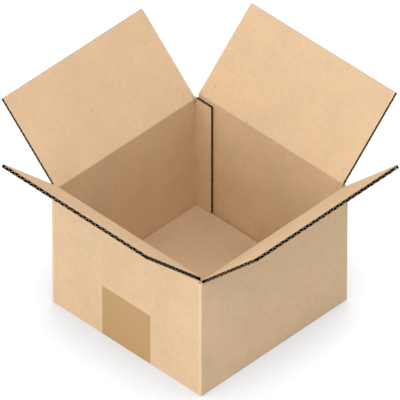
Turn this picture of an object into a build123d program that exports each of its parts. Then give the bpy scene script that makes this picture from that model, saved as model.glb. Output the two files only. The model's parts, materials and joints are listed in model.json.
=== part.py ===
# Open shipping carton, folded from one sheet of corrugated board, with its bottom taped shut
# and its four top flaps leaning outwards. Millimetres, +Z up, origin at the middle of the underside.
from build123d import *
from math import asin, atan2, cos, degrees, radians, sin, sqrt, tan
import os

# Inside of the carton
inside_width = 150
inside_depth = 150
inside_height = 100

# Corrugated board: two liners with a fluted sheet between them
board = 2.8
liner = 0.4
flute_pitch = 6.4
flute_sheet = 0.35
flute_web = 0.5
flute_tip = 0.9
flute_stop = 6
edge_groove = 1.5

# Folds: the board bends in its outer liner, and is pressed to a bevel on each side of the crease
corner_radius = 1.2
crease_radius = 0.9
hinge_depth = 0.4
crease_gap = 0.3
inner_bevel = 45
outer_bevel = 15
flap_lean = 45.5

# Clearances between plies, at meeting edges and at the sides of the flaps
ply_gap = 0.3
seam_gap = 0.8
side_clearance = 0.4
overrun = 1

# Glue tab in the back left corner, pressed a little thinner than the board
tab_width = 15.5
tab_crush = 0.2
joint_setback_share = 0.8
joint_fold_share = 0.85

# Packing tape over the bottom seam, up the front and the back
tape_width = 50
tape_thickness = 0.1
tape_rise = 46.9

# Sizes that follow
outer_width = inside_width + 2 * board
outer_depth = inside_depth + 2 * board
tab_thickness = board - tab_crush
front_flap_width = inside_width - 2 * side_clearance
side_flap_width = inside_depth - 2 * side_clearance
inner_ply = board + ply_gap
bottom_flap_width = inside_depth - 2 * (inner_ply + side_clearance)
floor_height = inner_ply + board
fold_depth = board - hinge_depth
side_hinge = floor_height + inside_height + fold_depth
front_hinge = side_hinge + inner_ply
tab_foot = floor_height + side_clearance
tab_top = front_hinge - fold_depth - side_clearance
joint_setback = joint_setback_share * board

# Outer corner where the left wall folds into its tab
joint_corner = (-outer_width / 2, inside_depth / 2)

# Each wall: turn from the front, distance to the wall opposite, width of its flap and how far the flap sits
# off the middle, height of its fold. The left flap stops short of the glue tab, to close beside it.
walls = {
    "front": (0, outer_depth, front_flap_width, 0, front_hinge),
    "right": (90, outer_width, side_flap_width, 0, side_hinge),
    "back": (180, outer_depth, front_flap_width, 0, front_hinge),
    "left": (270, outer_width, side_flap_width - tab_thickness, tab_thickness / 2, side_hinge),
}


# Plane across a fold, with its origin on the fold's axis, x towards the inner face and y up the flap
def fold_plane(turn, span, hinge_height, lean):
    outward = Vector(sin(radians(turn)), -cos(radians(turn)), 0)
    upward = Vector(0, 0, 1)
    inward = upward * sin(radians(lean)) - outward * cos(radians(lean))
    flapwise = upward * cos(radians(lean)) + outward * sin(radians(lean))
    axis_point = outward * (span / 2 - hinge_depth) + upward * hinge_height
    return Plane(origin=axis_point, x_dir=inward, z_dir=inward.cross(flapwise))


# How far a crease bevel climbs while it crosses the board from the fold's axis
def bevel_rise(across, bevel):
    return crease_gap + across / tan(radians(bevel))


# Body: four walls, a glue tab and two pairs of bottom flaps, all one folded sheet
with BuildPart() as carton_body:
    with BuildSketch():
        RectangleRounded(outer_width, outer_depth, corner_radius)
        Rectangle(inside_width, inside_depth, mode=Mode.SUBTRACT)
    extrude(amount=front_hinge)

    # Side walls and corners stop at the lower of the two fold heights
    with BuildSketch(Plane.XY.offset(side_hinge)):
        Rectangle(outer_width + 2 * overrun, outer_depth + 2 * overrun)
        Rectangle(front_flap_width + 2 * side_clearance, outer_depth + 2 * overrun, mode=Mode.SUBTRACT)
    extrude(amount=inner_ply + overrun, mode=Mode.SUBTRACT)

    # Crease bevels along the top of each wall, as long as the flap that folds there
    for turn, span, flap_width, flap_shift, hinge_height in walls.values():
        inner_reach = fold_depth + overrun
        outer_reach = hinge_depth + overrun
        with BuildSketch(fold_plane(turn, span, hinge_height, 0).offset(flap_shift)):
            with BuildLine():
                Polyline(
                    (0, -crease_gap),
                    (inner_reach, -bevel_rise(inner_reach, inner_bevel)),
                    (inner_reach, inner_ply + overrun),
                    (-outer_reach, inner_ply + overrun),
                    (-outer_reach, -bevel_rise(outer_reach, outer_bevel)),
                    close=True,
                )
            make_face()
        extrude(amount=flap_width / 2 + side_clearance, both=True, mode=Mode.SUBTRACT)

    # Outer bottom flaps, on the side walls
    with BuildSketch():
        Rectangle(outer_width, bottom_flap_width)
        Rectangle(seam_gap, bottom_flap_width, mode=Mode.SUBTRACT)
    extrude(amount=board)

    # Inner bottom flaps step up at 45 degrees from the feet of the front and back walls, onto the outer ones
    step_height = board * sqrt(2)
    with BuildSketch(Plane.YZ):
        with BuildLine():
            Polyline(
                (seam_gap / 2, inner_ply),
                (inside_depth / 2 - inner_ply, inner_ply),
                (inside_depth / 2, 0),
                (inside_depth / 2, step_height),
                (inside_depth / 2 + step_height - floor_height, floor_height),
                (seam_gap / 2, floor_height),
                close=True,
            )
        make_face()
        mirror(about=Plane.YZ)
    extrude(amount=front_flap_width / 2, both=True)

    # Glue tab: the left wall's end, folded in and glued behind the back wall
    with BuildSketch(Plane.XY.offset(tab_foot)):
        with Locations((-inside_width / 2, inside_depth / 2)):
            Rectangle(tab_width, tab_thickness, align=(Align.MIN, Align.MAX))
    extrude(amount=tab_top - tab_foot)

    # The back wall's raw end stops short of that corner
    with BuildSketch():
        with Locations(joint_corner):
            Rectangle(joint_setback, board, align=(Align.MIN, Align.MIN))
    extrude(amount=front_hinge, mode=Mode.SUBTRACT)

    # Rounded folds: the left wall into its tab, and the foot of every wall, which runs on round the corners
    upright_edges = carton_body.edges().filter_by(Axis.Z)
    fillet(upright_edges.sort_by_distance((*joint_corner, 0))[0], joint_fold_share * joint_setback)
    front_edges = carton_body.edges().filter_by(Axis.X).group_by(Axis.Y)[0]
    fillet(front_edges.sort_by(Axis.Z)[0], crease_radius)

    # Shallow bed under the bottom, where the tape is pressed into the board
    with BuildSketch():
        Rectangle(tape_width, outer_depth)
    extrude(amount=tape_thickness, mode=Mode.SUBTRACT)

carton_body.part.label = "carton_body"


# Flap: a bevelled panel with open flutes along its free edge and a groove down each side
def make_flap(turn, span, flap_width, flap_shift, hinge_height):
    fold = fold_plane(turn, span, hinge_height, flap_lean).offset(flap_shift)
    flap_length = span / 2 - hinge_depth - seam_gap / 2
    core = board - 2 * liner
    flute_height = core - flute_sheet
    flute_base = flute_pitch - 2 * flute_web - flute_tip
    flute_slope = degrees(atan2(flute_height, (flute_base - flute_tip) / 2))
    flute_count = int((flap_width - 2 * edge_groove) // flute_pitch)
    with BuildPart() as flap:
        with BuildSketch(fold):
            with BuildLine():
                Polyline(
                    (0, crease_gap),
                    (fold_depth, bevel_rise(fold_depth, inner_bevel)),
                    (fold_depth, flap_length),
                    (-hinge_depth, flap_length),
                    (-hinge_depth, bevel_rise(hinge_depth, outer_bevel)),
                    close=True,
                )
            make_face()
        extrude(amount=flap_width / 2, both=True)

        free_edge = Plane(
            origin=fold.from_local_coords((board / 2 - hinge_depth, flap_length, 0)),
            x_dir=fold.z_dir,
            z_dir=fold.y_dir,
        )
        with BuildSketch(free_edge):
            with Locations((0, flute_sheet / 2)):
                with GridLocations(flute_pitch, 0, flute_count, 1):
                    Trapezoid(flute_base, flute_height, flute_slope, rotation=180)
            with Locations((0, -flute_sheet / 2)):
                with GridLocations(flute_pitch, 0, flute_count - 1, 1):
                    Trapezoid(flute_base, flute_height, flute_slope)
            with GridLocations(flap_width - edge_groove, 0, 2, 1):
                Rectangle(edge_groove, core)
        extrude(amount=flute_stop - flap_length, mode=Mode.SUBTRACT)
    return flap.part


# Tape: one strip that runs under the seam, round the folds and up the walls at both ends
with BuildPart() as bottom_tape:
    wall_face = outer_depth / 2
    turn_centre = (wall_face - crease_radius, crease_radius)
    turn_radius = crease_radius + tape_thickness
    outer_dip = degrees(asin(crease_radius / turn_radius))
    inner_dip = degrees(asin((crease_radius - tape_thickness) / crease_radius))
    with BuildSketch(Plane.YZ):
        with BuildLine():
            outer_turn = CenterArc(turn_centre, turn_radius, -outer_dip, outer_dip)
            inner_turn = CenterArc(turn_centre, crease_radius, -inner_dip, inner_dip)
            Polyline(
                outer_turn @ 1,
                (wall_face + tape_thickness, tape_rise),
                (wall_face, tape_rise),
                inner_turn @ 1,
            )
            Polyline(inner_turn @ 0, (0, tape_thickness), (0, 0), outer_turn @ 0)
        make_face()
        mirror(about=Plane.YZ)
    extrude(amount=tape_width / 2, both=True)

bottom_tape.part.label = "bottom_tape"

os.makedirs("parts", exist_ok=True)
export_step(carton_body.part, "parts/carton_body.step")
export_step(bottom_tape.part, "parts/bottom_tape.step")
for name, wall in walls.items():
    flap = make_flap(*wall)
    flap.label = f"flap_{name}"
    export_step(flap, f"parts/flap_{name}.step")
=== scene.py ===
import json
import math

import bpy
import numpy as np
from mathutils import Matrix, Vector


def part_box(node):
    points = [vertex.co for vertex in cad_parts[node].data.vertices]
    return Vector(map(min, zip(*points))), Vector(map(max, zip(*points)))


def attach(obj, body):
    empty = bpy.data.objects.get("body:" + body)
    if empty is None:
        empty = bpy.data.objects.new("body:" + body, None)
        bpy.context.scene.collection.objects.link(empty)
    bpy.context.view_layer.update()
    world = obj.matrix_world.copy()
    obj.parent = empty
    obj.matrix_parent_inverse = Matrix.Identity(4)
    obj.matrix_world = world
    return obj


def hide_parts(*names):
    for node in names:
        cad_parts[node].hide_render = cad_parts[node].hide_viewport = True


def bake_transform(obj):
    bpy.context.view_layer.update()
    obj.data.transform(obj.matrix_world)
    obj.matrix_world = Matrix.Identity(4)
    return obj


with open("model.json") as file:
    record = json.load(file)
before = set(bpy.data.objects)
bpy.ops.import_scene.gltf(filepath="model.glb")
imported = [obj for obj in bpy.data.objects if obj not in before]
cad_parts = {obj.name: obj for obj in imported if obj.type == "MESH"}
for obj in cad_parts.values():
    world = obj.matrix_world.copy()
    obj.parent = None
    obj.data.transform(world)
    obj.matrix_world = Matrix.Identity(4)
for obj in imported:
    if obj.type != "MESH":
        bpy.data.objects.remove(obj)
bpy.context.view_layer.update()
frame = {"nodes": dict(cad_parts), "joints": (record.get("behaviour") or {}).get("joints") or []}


board = {  # corrugated board, metres
    "thickness": 0.0028,
    "liner": 0.00025,  # each facing sheet
    "medium": 0.00015,  # the fluted sheet between them
    "pitch": 0.0064,  # from one flute to the next
    "tip": 0.93,  # 0 gives sine waves, 1 a sharp zigzag
    "stepsPerFlute": 16,
}


# Materials

noiseSpan = (0.3, 0.7)  # nearly all of a noise texture lies between these


def addNode(tree, kind, inputs, **settings):
    # a node with its settings; its inputs, by name or number, are set to values or linked to outputs
    node = tree.nodes.new(kind)
    for name, value in settings.items():
        setattr(node, name, value)
    for key, value in inputs.items():
        if isinstance(value, bpy.types.NodeSocket):
            tree.links.new(value, node.inputs[key])
        else:
            node.inputs[key].default_value = value
    return node


def mathNode(tree, operation, first, second=0.0):
    return addNode(tree, "ShaderNodeMath", {0: first, 1: second}, operation=operation).outputs[0]


def spread(tree, value, low, high, start, end):
    # a value between low and high, stretched to run from start to end
    inputs = {"Value": value, "From Min": low, "From Max": high, "To Min": start, "To Max": end}
    return addNode(tree, "ShaderNodeMapRange", inputs).outputs[0]


def noiseNode(tree, place, scale, detail):
    inputs = {"Vector": place, "Scale": scale, "Detail": detail}
    return addNode(tree, "ShaderNodeTexNoise", inputs).outputs[0]


def stretch(tree, place, scale):
    return addNode(tree, "ShaderNodeMapping", {"Vector": place, "Scale": scale}).outputs[0]


def unevenness(tree, noise, depth):
    # a noise stretched to run from 1 - depth to 1 + depth
    return spread(tree, noise, *noiseSpan, 1 - depth, 1 + depth)


def scaleColour(tree, colour, brightness):
    inputs = {0: colour, "Scale": brightness}
    return addNode(tree, "ShaderNodeVectorMath", inputs, operation="SCALE").outputs[0]


def mixColours(tree, share, first, second):
    # a mix node takes its two colours at inputs 6 and 7, and gives the mixed one at output 2
    inputs = {0: share, 6: first, 7: second}
    return addNode(tree, "ShaderNodeMix", inputs, data_type="RGBA").outputs[2]


def newMaterial(name):
    material = bpy.data.materials.new(name)
    material.use_nodes = True
    return material, material.node_tree, material.node_tree.nodes["Principled BSDF"]


def setSurface(tree, shader, colour, look):
    tree.links.new(colour, shader.inputs["Base Color"])
    shader.inputs["Roughness"].default_value = look["roughness"]
    shader.inputs["Specular IOR Level"].default_value = look["specular"]


kraftLook = {
    "paper": (0.64, 0.451, 0.280),
    "inside": (0.648, 0.470, 0.298),  # the box's inner facing, a little greyer and paler: painted light that offsets the warm bounced shade inside the box
    "insideReach": 0.0752,  # from the middle to just past the inner faces of the walls
    "insideFoot": 0.001,  # below this is the underside, which shows the outer facing
    "speck": (0.24, 0.15, 0.075),
    "cloudScale": 38.0,  # patches of lighter and darker pulp
    "cloudDetail": 3.0,
    "cloud": 0.035,
    "pulpScale": 210.0,  # blotches a few millimetres across
    "pulpDetail": 2.0,
    "pulp": 0.025,
    "grainScale": 650.0,  # fine mottling
    "grainDetail": 4.0,
    "grain": 0.03,
    "fibreScale": (900.0, 900.0, 150.0),  # fibres lie mostly up the board
    "fibreDetail": 4.0,
    "fibre": 0.025,
    "speckScale": 150.0,
    "speckShare": 0.22,  # cells of the speck pattern that hold a speck
    "speckCore": 0.06,  # a speck fades from here to its rim, as distances within its cell
    "speckRim": 0.16,
    "speckStrength": 0.5,
    "roughness": 0.88,
    "specular": 0.2,
    "fibreHeight": 0.00004,
    "fluteHeight": 0.00001,  # flutes that show through the facing
    "wear": 0.12,  # painted highlight: how much paler the front and back walls are beside their upright folds
    "wearFrom": 0.0745,
    "wearTo": 0.0758,
    "wearFacing": 0.8,  # how squarely a face with the painted highlight looks to the front or back
}


def makeKraft(look):
    material, tree, paper = newMaterial("kraftBoard")
    coords = addNode(tree, "ShaderNodeTexCoord", {}).outputs
    place = coords["Object"]

    # brightness: clouds x pulp x grain x fibres, each a noise about 1
    clouds = noiseNode(tree, place, look["cloudScale"], look["cloudDetail"])
    pulp = noiseNode(tree, place, look["pulpScale"], look["pulpDetail"])
    grain = noiseNode(tree, place, look["grainScale"], look["grainDetail"])
    fibres = noiseNode(tree, stretch(tree, place, look["fibreScale"]), 1.0, look["fibreDetail"])
    brightness = 1.0
    for noise, depth in ((clouds, "cloud"), (pulp, "pulp"), (grain, "grain"), (fibres, "fibre")):
        brightness = mathNode(tree, "MULTIPLY", unevenness(tree, noise, look[depth]), brightness)

    # painted highlight: paler in the last few millimetres of the walls that face front or back, beside
    # their upright folds
    spot = addNode(tree, "ShaderNodeSeparateXYZ", {"Vector": place}).outputs
    normal = addNode(tree, "ShaderNodeSeparateXYZ", {"Vector": coords["Normal"]}).outputs
    sidewards, frontwards = (mathNode(tree, "ABSOLUTE", normal[axis]) for axis in "XY")
    widthwise, depthwise = (mathNode(tree, "ABSOLUTE", spot[axis]) for axis in "XY")
    nearFold = spread(tree, widthwise, look["wearFrom"], look["wearTo"], 0.0, look["wear"])
    square = mathNode(tree, "GREATER_THAN", frontwards, look["wearFacing"])
    paintedHighlight = mathNode(tree, "MULTIPLY", nearFold, square)
    brightness = mathNode(tree, "MULTIPLY", brightness, mathNode(tree, "ADD", paintedHighlight, 1.0))

    # painted light on the inner facing: above the underside, wherever both distances from the middle are
    # within the walls
    farther = mathNode(tree, "MAXIMUM", widthwise, depthwise)
    above = mathNode(tree, "GREATER_THAN", spot["Z"], look["insideFoot"])
    within = mathNode(tree, "MULTIPLY", above, mathNode(tree, "LESS_THAN", farther, look["insideReach"]))
    facing = mixColours(tree, within, (*look["paper"], 1.0), (*look["inside"], 1.0))
    toned = scaleColour(tree, facing, brightness)

    # specks: the middles of a few cells of a cell pattern, chosen by the cell's own random colour
    cells = addNode(tree, "ShaderNodeTexVoronoi", {"Vector": place, "Scale": look["speckScale"]}).outputs
    pick = addNode(tree, "ShaderNodeSeparateColor", {"Color": cells["Color"]}).outputs[0]
    chosen = mathNode(tree, "LESS_THAN", pick, look["speckShare"])
    dot = spread(tree, cells["Distance"], look["speckCore"], look["speckRim"], look["speckStrength"], 0.0)
    speckled = mixColours(tree, mathNode(tree, "MULTIPLY", chosen, dot), toned, (*look["speck"], 1.0))

    # height: fibres, and a cosine across the flutes, which run up the walls and along the flaps;
    # the mix takes the place along X or, on side walls and side flaps, along Y
    onSide = mathNode(tree, "GREATER_THAN", sidewards, frontwards)
    across = addNode(tree, "ShaderNodeMix", {0: onSide, 2: spot["X"], 3: spot["Y"]}, data_type="FLOAT")
    turns = mathNode(tree, "MULTIPLY", across.outputs[0], 2 * math.pi / board["pitch"])
    flutes = mathNode(tree, "MULTIPLY", mathNode(tree, "COSINE", turns), look["fluteHeight"])
    rough = mathNode(tree, "MULTIPLY", fibres, look["fibreHeight"])
    height = mathNode(tree, "ADD", flutes, rough)
    bump = addNode(tree, "ShaderNodeBump", {"Height": height, "Distance": 1.0, "Strength": 1.0})
    tree.links.new(bump.outputs[0], paper.inputs["Normal"])
    setSurface(tree, paper, speckled, look)
    return material


tapeLook = {
    "film": (0.45, 0.272, 0.117),
    "streakScale": (420.0, 60.0, 60.0),  # streaks run along the tape
    "streakDetail": 2.0,
    "streak": 0.02,
    "roughness": 0.5,
    "specular": 0.3,
}


def makeTape(look):
    material, tree, film = newMaterial("brownTape")
    place = addNode(tree, "ShaderNodeTexCoord", {}).outputs["Object"]
    streaks = noiseNode(tree, stretch(tree, place, look["streakScale"]), 1.0, look["streakDetail"])
    toned = scaleColour(tree, look["film"], unevenness(tree, streaks, look["streak"]))
    setSurface(tree, film, toned, look)
    return material


edgeLook = {
    "hollow": (0.005, 0.0035, 0.0025),  # painted shade: near black, for looking into the flutes
    "cut": (0.42, 0.29, 0.172),  # cut edges of the facings
    "wave": (0.70, 0.53, 0.355),  # cut edge of the fluted sheet, paler than the paper
    "mottleScale": 900.0,
    "mottleDetail": 2.0,
    "mottle": 0.15,
    "roughness": 1.0,
    "specular": 0.0,
}


def makeEdge(name, colour, look):
    material, tree, edge = newMaterial(name)
    place = addNode(tree, "ShaderNodeTexCoord", {}).outputs["Object"]
    noise = noiseNode(tree, place, look["mottleScale"], look["mottleDetail"])
    toned = scaleColour(tree, look[colour], unevenness(tree, noise, look["mottle"]))
    setSurface(tree, edge, toned, look)
    return material


kraft = makeKraft(kraftLook)
tape = makeTape(tapeLook)
fluteShadow = makeEdge("fluteHollow", "hollow", edgeLook)
cutEdge = makeEdge("cutEdge", "cut", edgeLook)
fluteEdge = makeEdge("fluteEdge", "wave", edgeLook)
boardMaterials = (kraft, fluteShadow, cutEdge, fluteEdge)
paperLook, paintedShadeLook, cutLook, waveLook = range(len(boardMaterials))  # their places in a mesh's list
for name, material in (("carton_body", kraft), ("bottom_tape", tape)):
    for materialSlot in frame["nodes"][name].material_slots:
        materialSlot.material = material
print("materials made")


# Meshes

def sheetShell(front, back, frontLook, backLook, rimLook):
    # a closed sheet between two grids of points: the front faces, the back faces turned round and a rim,
    # each with its place in the list of materials
    rows, columns = front.shape[:2]
    index = np.arange(rows * columns).reshape(rows, columns)
    quads = np.stack([index[:-1, :-1], index[:-1, 1:], index[1:, 1:], index[1:, :-1]], -1).reshape(-1, 4)
    loop = np.concatenate([index[0, :-1], index[:-1, -1], index[-1, :0:-1], index[:0:-1, 0]])
    after = np.roll(loop, -1)
    rim = np.stack([loop, loop + index.size, after + index.size, after], -1)
    points = np.concatenate([front.reshape(-1, 3), back.reshape(-1, 3)])
    faces = np.concatenate([quads, quads[:, ::-1] + index.size, rim])
    looks = np.repeat([frontLook, backLook, rimLook], [len(quads), len(quads), len(rim)])
    return points, faces, looks


def makePiece(name, shells, smooth=False):
    # one mesh from several closed shells
    pointSets, faceSets, lookSets = zip(*shells)
    starts = np.cumsum([0] + [len(points) for points in pointSets])
    points = np.concatenate(pointSets)
    faces = np.concatenate([faces + start for faces, start in zip(faceSets, starts)])
    mesh = bpy.data.meshes.new(name)
    mesh.from_pydata(points.tolist(), [], faces.tolist())
    for material in boardMaterials:
        mesh.materials.append(material)
    mesh.polygons.foreach_set("material_index", np.concatenate(lookSets).astype(np.int32))
    mesh.polygons.foreach_set("use_smooth", np.full(len(faces), smooth))
    mesh.update()
    piece = bpy.data.objects.new(name, mesh)
    bpy.context.scene.collection.objects.link(piece)
    return piece


def flutedSheet(start, run, out, length, swing, low, high):
    # the fluted sheet, from low to high along out: its centre line moves across by
    # swing x asin(tip x sin(2 pi run / pitch)) / asin(tip), a zigzag with rounded tips,
    # and half its thickness lies each side of that line, along the line's own normal
    across = np.cross(run, out)
    columns = int(round(length / board["pitch"] * board["stepsPerFlute"])) + 1
    along = np.linspace(0, length, columns)
    phase = 2 * np.pi * along / board["pitch"]
    wave = swing * np.arcsin(board["tip"] * np.sin(phase)) / np.arcsin(board["tip"])
    slope = np.gradient(wave, along)
    half = board["medium"] / 2 / np.sqrt(1 + slope**2)
    grids = []
    for side in (1, -1):
        runPlace = along - side * half * slope
        acrossPlace = wave + side * half
        line = start + runPlace[:, None] * run + acrossPlace[:, None] * across
        grids.append(np.stack([line + low * out, line + high * out]))
    # both faces carry the painted flute shade, the cut edge its own paler colour
    return sheetShell(*grids, paintedShadeLook, paintedShadeLook, waveLook)


# Flaps: two facings with the fluted sheet between them, open at the free edge

flapBoard = {
    "innerRoot": 0.0026,  # where the inner facing starts, up from the fold
    "outerRoot": 0.0018,
    "sideDepth": 0.0016,  # fluting that shows on the side edges
    "columns": 145,
    "rows": 40,
    "fray": 0.00005,  # unevenness of the cut edges
    "frayWaves": (1900.0, 3100.0, 5300.0),  # radians along a metre of edge
    "freeShift": 5000.0,  # these two set the edges of the two facings out of step
    "sideShift": 7000.0,
}


def readFold(joint):
    # a fold's sizes: the middle of its axis, its directions, its lean at rest, its flap's width and top,
    # and how far in from the axis the board's outer and inner faces lie
    pivot = np.array(joint["pos_m"])
    low, high = (np.array(corner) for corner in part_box("flap_" + joint["child"].split("_")[0]))
    outward = pivot * (1, 1, 0) / np.linalg.norm(pivot[:2])
    upward = np.array((0.0, 0.0, 1.0))
    along = np.cross(upward, -outward)
    outerFace = pivot @ outward - np.max(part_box("carton_body")[1][:2])
    return {
        "pivot": pivot + ((low + high) / 2 - pivot) @ along * along,
        "along": along, "outward": outward, "upward": upward,
        "lean": math.radians(joint["range_deg"][1] - 90),  # the closed flap is level
        "width": abs((high - low) @ along), "top": high[2],
        "outerFace": outerFace, "innerFace": outerFace + board["thickness"],
    }


def pieceName(body, ending):
    # front_flap and Board give frontFlapBoard
    return body.replace("_f", "F") + ending


def fray(place, shift, waves):
    # unevenness from 0 to 1 along a cut edge: sines of unlike wavelengths, each shifted more than the last
    total = sum(np.sin(place * wave + step * shift) for step, wave in enumerate(waves, 1))
    return (total + len(waves)) / (2 * len(waves))


def makeFlap(joint, values):
    name, fold = joint["child"], readFold(joint)
    pivot, along, width, innerFace = fold["pivot"], fold["along"], fold["width"], fold["innerFace"]
    depth, cut, innerRoot = values["sideDepth"], values["fray"], values["innerRoot"]
    rise, reach = math.cos(fold["lean"]), math.sin(fold["lean"])
    up = fold["upward"] * rise + fold["outward"] * reach
    inner = fold["upward"] * reach - fold["outward"] * rise
    length = (fold["top"] - pivot[2] - innerFace * reach) / rise

    shells = []
    share, climb = np.meshgrid(np.linspace(-1, 1, values["columns"]), np.linspace(0, 1, values["rows"]))
    for side in ("inner", "outer"):
        # facing: a flat grid whose free and side edges are cut a little unevenly
        face, root = fold[side + "Face"], values[side + "Root"]
        freeCut = cut * fray(share * width, face * values["freeShift"], values["frayWaves"])
        sideCut = cut * fray(climb * length, face * values["sideShift"], values["frayWaves"])
        y = root + climb * (length - root - freeCut)
        x = share * (width / 2 - sideCut)
        shown = pivot + x[..., None] * along + y[..., None] * up + face * inner
        # the hidden side of each facing carries the painted flute shade
        if side == "inner":
            hidden = shown - board["liner"] * inner
            shells.append(sheetShell(shown, hidden, paperLook, paintedShadeLook, cutLook))
        else:
            hidden = shown + board["liner"] * inner
            shells.append(sheetShell(hidden, shown, paintedShadeLook, paperLook, cutLook))

    half = board["thickness"] / 2
    middle = pivot + (innerFace - half) * inner
    swing = half - board["liner"] - board["medium"] / 2
    start = middle - (width / 2 - depth) * along
    shells.append(flutedSheet(start, along, up, width - 2 * depth, swing, innerRoot, length - cut))
    for end in (1, -1):
        out = end * along
        edge = middle + width / 2 * out
        sideLength = length - innerRoot - depth
        shells.append(flutedSheet(edge + innerRoot * up, up, out, sideLength, swing, -depth, -cut))
        # a dark wall of painted shade runs in from the outer corner, where light would pass between the
        # facings
        ends = edge + length * up - np.outer((board["medium"], depth), up + out)
        gap = end * (half - board["liner"]) * inner
        wall = np.stack([ends - gap, ends + gap], 1)
        wallBack = wall + board["medium"] / 2 * (up - out)
        shells.append(sheetShell(wall, wallBack, paintedShadeLook, paintedShadeLook, paintedShadeLook))
    piece = makePiece(pieceName(name, "Board"), shells)
    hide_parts("flap_" + name.split("_")[0])
    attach(piece, name)


# Creases: each facing bends over the fold, as two flat runs joined by an arc

crease = {
    "innerReach": 0.0029,  # from the fold to where the bend meets wall and flap
    "innerBend": 0.0006,  # from the sharp corner to the start of the arc
    "outerReach": 0.0021,
    "outerBend": 0.00035,
    "sheet": 0.0003,
    "tuck": 0.0002,  # last stretch at each end, sunk into the board
    "sink": 0.00003,
    "arcSteps": 10,
    "columns": 37,
}


def bendLine(face, reach, bend, lean, values, offset):
    # a facing's line across the fold, as distances in from the fold's axis and up: up the wall, round
    # an arc that starts bend short of the sharp corner, and out along the flap;
    # the whole line is moved by offset along its normal
    corner = face * math.tan(lean / 2)
    radius = bend / math.tan(lean / 2)
    turn = np.linspace(0, lean, values["arcSteps"])
    arcIn = face - radius + (radius + offset) * np.cos(turn)
    arcUp = corner - bend + (radius + offset) * np.sin(turn)
    sunk = offset - math.copysign(values["sink"], face)
    ends = np.array([[sunk, -reach], [offset, values["tuck"] - reach]])
    wallIn, wallUp = face + ends[:, 0], ends[:, 1]
    flapOut, flapUp = face + ends[::-1, 0], -ends[::-1, 1]
    flapIn = flapOut * math.cos(lean) - flapUp * math.sin(lean)
    flapRise = flapOut * math.sin(lean) + flapUp * math.cos(lean)
    return np.concatenate([wallIn, arcIn, flapIn]), np.concatenate([wallUp, arcUp, flapRise])


def makeCrease(joint, values, side):
    name, fold = joint["child"], readFold(joint)
    face, reach, bend = fold[side + "Face"], values[side + "Reach"], values[side + "Bend"]
    x = np.linspace(-1, 1, values["columns"]) * fold["width"] / 2
    grids = []
    for offset in (0.0, -math.copysign(values["sheet"], face)):
        lineIn, lineUp = bendLine(face, reach, bend, fold["lean"], values, offset)
        line = fold["pivot"] - lineIn[:, None] * fold["outward"] + lineUp[:, None] * fold["upward"]
        grids.append(line[:, None] + x[None, :, None] * fold["along"])
    # the hidden side of each crease facing carries the painted flute shade
    if side == "inner":
        shell = sheetShell(*grids, paperLook, paintedShadeLook, cutLook)
    else:
        shell = sheetShell(*grids[::-1], paintedShadeLook, paperLook, cutLook)
    piece = makePiece(pieceName(name, side.title() + "Crease"), [shell], smooth=True)
    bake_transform(piece)


for joint in frame["joints"]:
    makeFlap(joint, flapBoard)
    for side in ("inner", "outer"):
        makeCrease(joint, crease, side)
print("flaps and creases made")


# Glue tab: its two cut edges show the flutes

tabEdge = {
    "reach": 0.0155,  # from the left wall
    "thickness": 0.0026,
    "foot": 0.0063,
    "top": 0.1086,
    "rise": 0.0002,  # how far the cut edge stands out
    # how far the sheet of painted shade behind the flutes stands out
    "ground": 0.00002,
}


def makeTabEdge(values):
    bodyLow, bodyHigh = (np.array(corner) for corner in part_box("carton_body"))
    half = values["thickness"] / 2
    free = bodyLow[0] + board["thickness"] + values["reach"]
    middle = bodyHigh[1] - board["thickness"] - half
    right, upward = np.eye(3)[[0, 2]]
    swing = half - board["liner"] - board["medium"] / 2
    upright = (np.array((free, middle, values["foot"])), upward, right, values["top"] - values["foot"])
    level = (np.array((free, middle, values["top"])), -right, upward, values["reach"])
    strips = (  # the dark sheet of painted shade behind the flutes, then the two facings: low and high edge, rise, look
        (-half, half, values["ground"], paintedShadeLook),
        (half - board["liner"], half, values["rise"], cutLook),
        (-half, board["liner"] - half, values["rise"], cutLook),
    )
    shells = []
    for start, run, out, length in (upright, level):
        across = np.cross(run, out)
        shells.append(flutedSheet(start, run, out, length, swing, 0, values["rise"]))
        for low, high, rise, look in strips:
            # a plain strip along the whole edge
            ends = start + np.outer((0, length), run)
            corners = ends[:, None] + np.outer((low, high), across)
            shells.append(sheetShell(corners + rise * out, corners, look, look, look))
    piece = makePiece("glueTabEdge", shells)
    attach(piece, "carton")


makeTabEdge(tabEdge)
print("glue tab edges made")


# Studio: pale floor, white surroundings, soft light

studio = {
    "floorSize": 6.0,
    "floorDrop": 0.0001,  # clear of the underside, so that the two faces don't share a plane
    "floorColour": (0.79, 0.83, 0.87, 1.0),
    "floorGlow": 0.7,  # share of plain white that the camera sees in the floor
    "glowLevel": 1.2,
    "contactShade": 0.66,  # painted contact shadow: how far that white dims right beside the object
    "contactReach": 0.06,
    "contactFull": 0.5,  # share of open surroundings at which it is dimmed in full
    "skyColour": (1.0, 1.0, 1.0, 1.0),
    "sky": 0.52,
    "middle": (0.0, 0.0, 0.08),  # what the lamps point at
    "lamps": {  # direction from the object, distance, size, level of light at the object
        "keyLamp": ((-0.05, -1.0, 0.45), 1.6, 1.4, 0.52),
        "topLamp": ((0.5, -0.5, 1.0), 1.6, 1.0, 0.36),
        "backLamp": ((-0.35, 0.6, 1.0), 1.6, 1.2, 0.41),
        "sideLamp": ((0.8, 0.6, 0.35), 0.6, 0.4, 0.1),
    },
}


def seenDirectly(tree):
    # 1 for camera, glossy and transmission rays, which see the white background
    path = addNode(tree, "ShaderNodeLightPath", {}).outputs
    mirrored = mathNode(tree, "MAXIMUM", path["Is Glossy Ray"], path["Is Transmission Ray"])
    return mathNode(tree, "MAXIMUM", path["Is Camera Ray"], mirrored)


def mixShaders(tree, share, first, second):
    inputs = {0: share, 1: first.outputs[0], 2: second.outputs[0]}
    return addNode(tree, "ShaderNodeMixShader", inputs).outputs[0]


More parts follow.
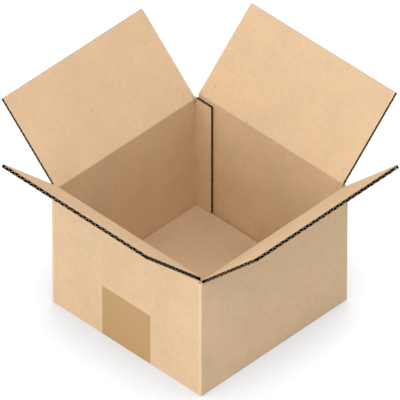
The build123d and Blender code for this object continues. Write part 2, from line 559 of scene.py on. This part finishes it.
def makeFloor(values):
    half, drop = values["floorSize"] / 2, -values["floorDrop"]
    corners = [(-half, -half, drop), (half, -half, drop), (half, half, drop), (-half, half, drop)]
    mesh = bpy.data.meshes.new("floor")
    mesh.from_pydata(corners, [], [(0, 1, 2, 3)])
    floor = bpy.data.objects.new("floor", mesh)
    bpy.context.scene.collection.objects.link(floor)

    # matt paint mixed with a white glow that dims beside the object by ambient occlusion, a painted
    # contact shadow
    material = bpy.data.materials.new("paleFloor")
    material.use_nodes = True
    tree = material.node_tree
    tree.nodes.clear()
    matt = addNode(tree, "ShaderNodeBsdfDiffuse", {"Color": values["floorColour"]})
    nearby = addNode(tree, "ShaderNodeAmbientOcclusion", {"Distance": values["contactReach"]})
    openness = nearby.outputs["AO"]
    dimmed = values["contactShade"] * values["glowLevel"]
    level = spread(tree, openness, values["contactFull"], 1.0, dimmed, values["glowLevel"])
    glow = addNode(tree, "ShaderNodeEmission", {"Strength": level})
    share = mathNode(tree, "MULTIPLY", seenDirectly(tree), values["floorGlow"])
    addNode(tree, "ShaderNodeOutputMaterial", {"Surface": mixShaders(tree, share, matt, glow)})
    mesh.materials.append(material)


def makeSurroundings(values):
    # soft light for the object, and plain white, a strength of 1, where they are seen directly
    world = bpy.data.worlds.new("studio")
    world.use_nodes = True
    tree = world.node_tree
    tree.nodes.clear()
    soft = addNode(tree, "ShaderNodeBackground", {"Color": values["skyColour"], "Strength": values["sky"]})
    white = addNode(tree, "ShaderNodeBackground", {"Color": values["skyColour"], "Strength": 1.0})
    addNode(tree, "ShaderNodeOutputWorld", {"Surface": mixShaders(tree, seenDirectly(tree), soft, white)})
    bpy.context.scene.world = world


def makeLamps(values):
    for name, (direction, distance, size, level) in values["lamps"].items():
        lamp = bpy.data.lights.new(name, "AREA")
        lamp.shape, lamp.size = "DISK", size
        # energy is level x (pi x distance) squared: level is the share of full white on a facing surface
        lamp.energy = level * (math.pi * distance) ** 2
        holder = bpy.data.objects.new(name, lamp)
        aim = Vector(direction).normalized()
        holder.location = Vector(values["middle"]) + aim * distance
        holder.rotation_mode = "QUATERNION"
        holder.rotation_quaternion = aim.to_track_quat("Z", "Y")
        bpy.context.scene.collection.objects.link(holder)


makeFloor(studio)
makeSurroundings(studio)
makeLamps(studio)
bpy.context.scene.view_settings.view_transform = "Standard"
print("studio made")


# Camera: a very long lens, close to a parallel view

view = {
    "azimuth": 44.44,
    "elevation": 40.08,
    "aim": (-0.01291, 0.01337, 0.08208),
    "field": 0.2968,  # width of the picture at the aim
    "lens": 1450.0,
    "sensor": 36.0,
    "nearShare": 0.01,  # where the view starts and ends, as shares of the distance
    "farShare": 3.0,
}


def makeCamera(values):
    # distance is field x lens / sensor, along the direction that azimuth and elevation give
    data = bpy.data.cameras.new("camera")
    data.lens, data.sensor_width = values["lens"], values["sensor"]
    azimuth, elevation = math.radians(values["azimuth"]), math.radians(values["elevation"])
    level = math.cos(elevation)
    back = Vector((math.sin(azimuth) * level, -math.cos(azimuth) * level, math.sin(elevation)))
    distance = values["field"] * values["lens"] / values["sensor"]
    data.clip_start, data.clip_end = distance * values["nearShare"], distance * values["farShare"]
    camera = bpy.data.objects.new("camera", data)
    camera.location = Vector(values["aim"]) + back * distance
    camera.rotation_mode = "QUATERNION"
    camera.rotation_quaternion = back.to_track_quat("Z", "Y")
    bpy.context.scene.collection.objects.link(camera)
    bpy.context.scene.camera = camera


makeCamera(view)
print("camera set")
